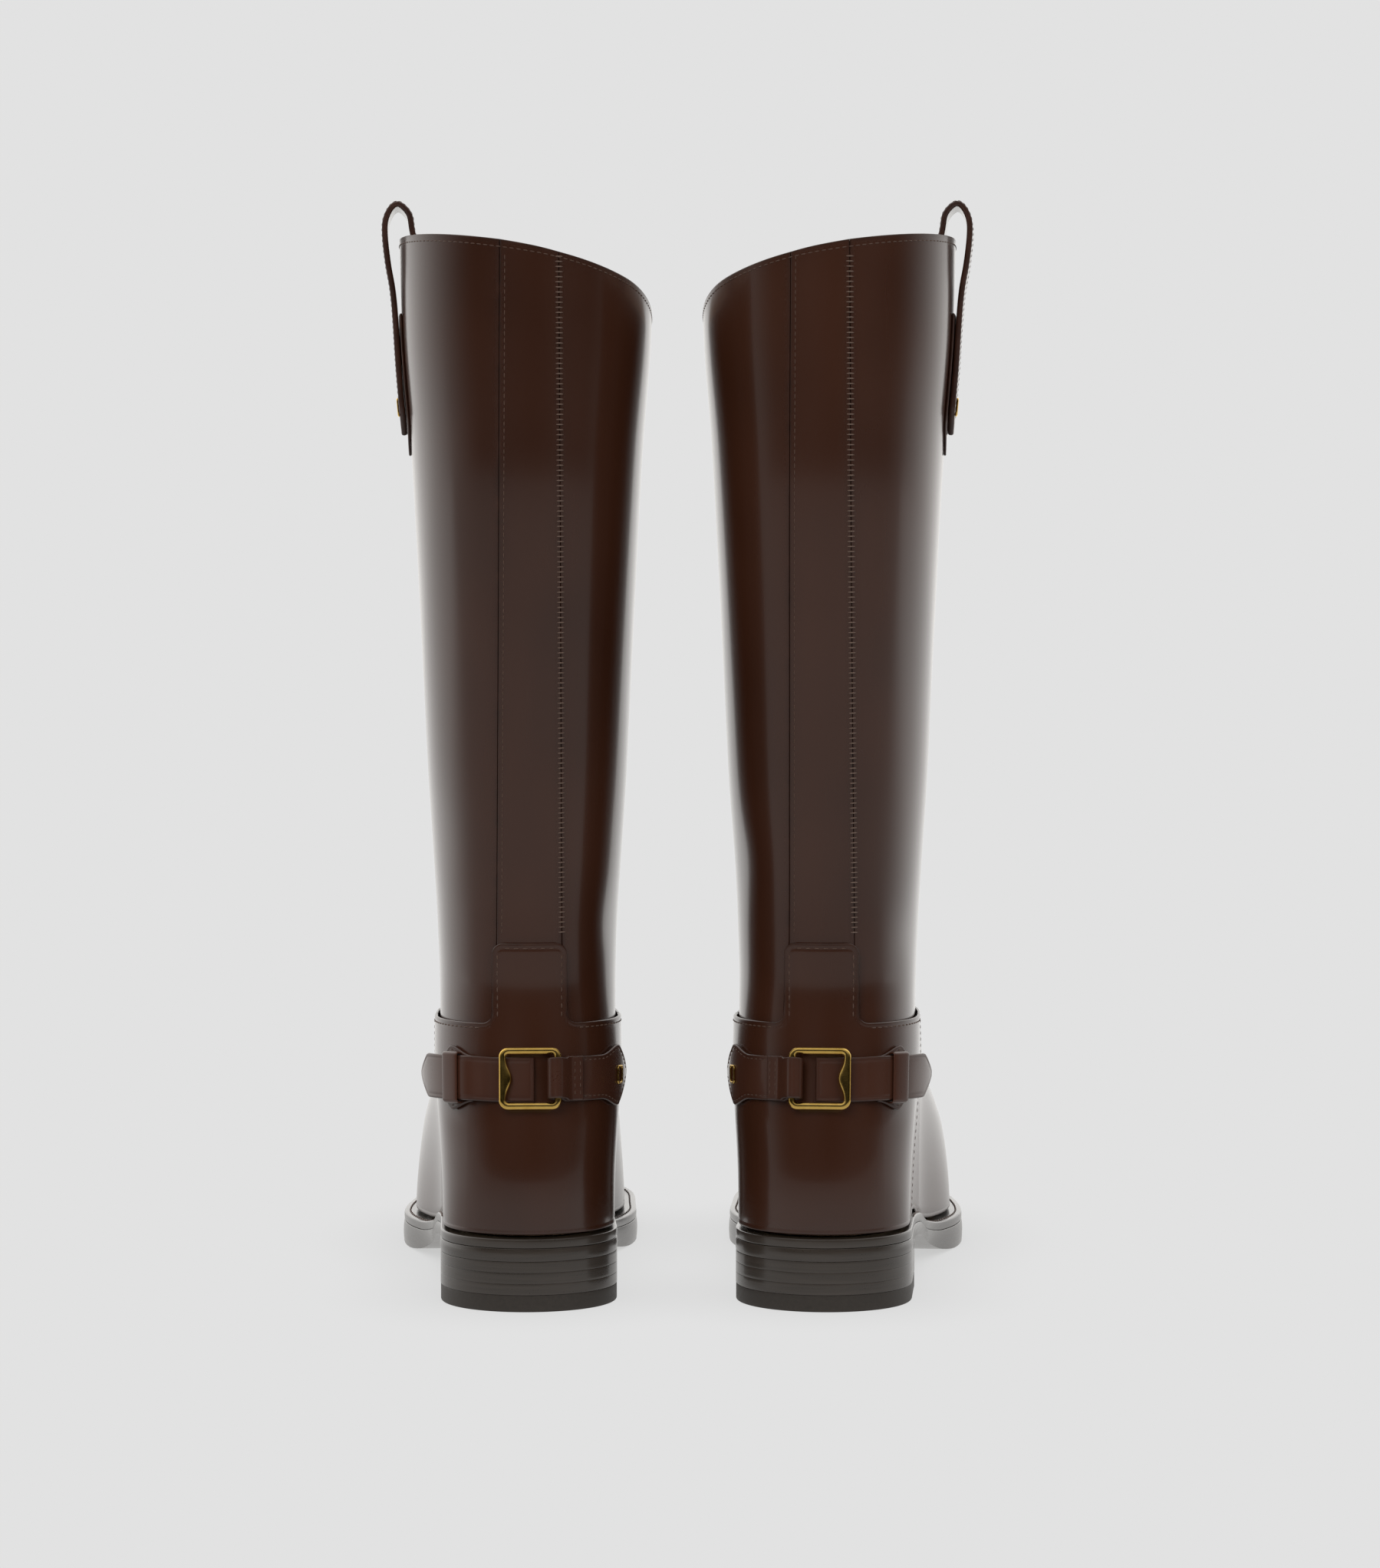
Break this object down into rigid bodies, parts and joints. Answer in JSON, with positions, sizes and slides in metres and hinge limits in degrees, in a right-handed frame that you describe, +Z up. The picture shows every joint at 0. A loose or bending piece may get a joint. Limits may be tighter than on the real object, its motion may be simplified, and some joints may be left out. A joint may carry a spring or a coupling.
{
  "type": "riding boots",
  "caption": "Pair of tall pull-on leather riding boots with buckled ankle straps, pull loops, welted soles and low heels.",
  "frame": {"origin": "on the floor, at the middle of the pair's box", "axes": "+Z up the shafts, +Y from the heels to the toes, +X to the wearer's right, the right boot's outer side"},
  "size_m": [0.2416, 0.2882, 0.4288],
  "materials": {
    "outer_leather": "polished dark brown, smooth, glossy",
    "strap_leather": "polished dark brown with a finished edge",
    "lining_leather": "matt undyed lining leather",
    "leatherboard": "matt fibre board",
    "buckle_brass": "polished solid brass",
    "shank_steel": "plain spring steel",
    "sole_leather": "dyed and burnished edge",
    "filler_cork": "granulated cork",
    "top_piece_rubber": "matt black rubber"
  },
  "bodies": {
    "right_boot": {"right_shaft_panel": "outer_leather", "right_back_strip": "outer_leather", "right_shaft_lining": "lining_leather", "right_counter_cover": "outer_leather", "right_vamp": "outer_leather", "right_counter_stiffener": "leatherboard", "right_toe_puff": "leatherboard", "right_foot_lining": "lining_leather", "right_insole_board": "leatherboard", "right_sock_liner": "lining_leather", "right_steel_shank": "shank_steel", "right_cork_filler": "filler_cork", "right_welt": "sole_leather", "right_outsole": "sole_leather", "right_heel_top_piece": "top_piece_rubber", "right_heel_screw": "shank_steel", "right_pull_strap": "strap_leather", "right_pull_strap_patch": "outer_leather", "right_pull_strap_staple": "buckle_brass", "right_anchor_strap": "strap_leather", "right_inner_staple": "buckle_brass", "right_outer_anchor": "strap_leather", "right_outer_staple": "buckle_brass", "right_billet_strap": "strap_leather", "right_keeper_loop": "strap_leather", "right_heel_lift_1": "sole_leather", "right_heel_lift_2": "sole_leather", "right_heel_lift_3": "sole_leather"},
    "right_buckle": {"right_buckle_frame": "buckle_brass"},
    "left_boot": {"left_shaft_panel": "outer_leather", "left_back_strip": "outer_leather", "left_shaft_lining": "lining_leather", "left_counter_cover": "outer_leather", "left_vamp": "outer_leather", "left_counter_stiffener": "leatherboard", "left_toe_puff": "leatherboard", "left_foot_lining": "lining_leather", "left_insole_board": "leatherboard", "left_sock_liner": "lining_leather", "left_steel_shank": "shank_steel", "left_cork_filler": "filler_cork", "left_welt": "sole_leather", "left_outsole": "sole_leather", "left_heel_top_piece": "top_piece_rubber", "left_heel_screw": "shank_steel", "left_pull_strap": "strap_leather", "left_pull_strap_patch": "outer_leather", "left_pull_strap_staple": "buckle_brass", "left_anchor_strap": "strap_leather", "left_inner_staple": "buckle_brass", "left_outer_anchor": "strap_leather", "left_outer_staple": "buckle_brass", "left_billet_strap": "strap_leather", "left_keeper_loop": "strap_leather", "left_heel_lift_1": "sole_leather", "left_heel_lift_2": "sole_leather", "left_heel_lift_3": "sole_leather"},
    "left_buckle": {"left_buckle_frame": "buckle_brass"}
  },
  "joints": [
    {"name": "right_buckle_hinge", "type": "hinge", "parent": "right_boot", "child": "right_buckle", "pos_m": [0.04222, -0.13806, 0.08906], "axis": [-0.0199, -0.2279, -0.9735], "range_deg": [0, 75]},
    {"name": "left_buckle_hinge", "type": "hinge", "parent": "left_boot", "child": "left_buckle", "pos_m": [-0.04694, -0.13837, 0.08906], "axis": [-0.0132, 0.2284, 0.9735], "range_deg": [0, 75]},
    {"name": "left_boot_lift", "type": "slide", "parent": "right_boot", "child": "left_boot", "axis": [0, 0, 1], "range_m": [0, 0.3]}
  ]
}
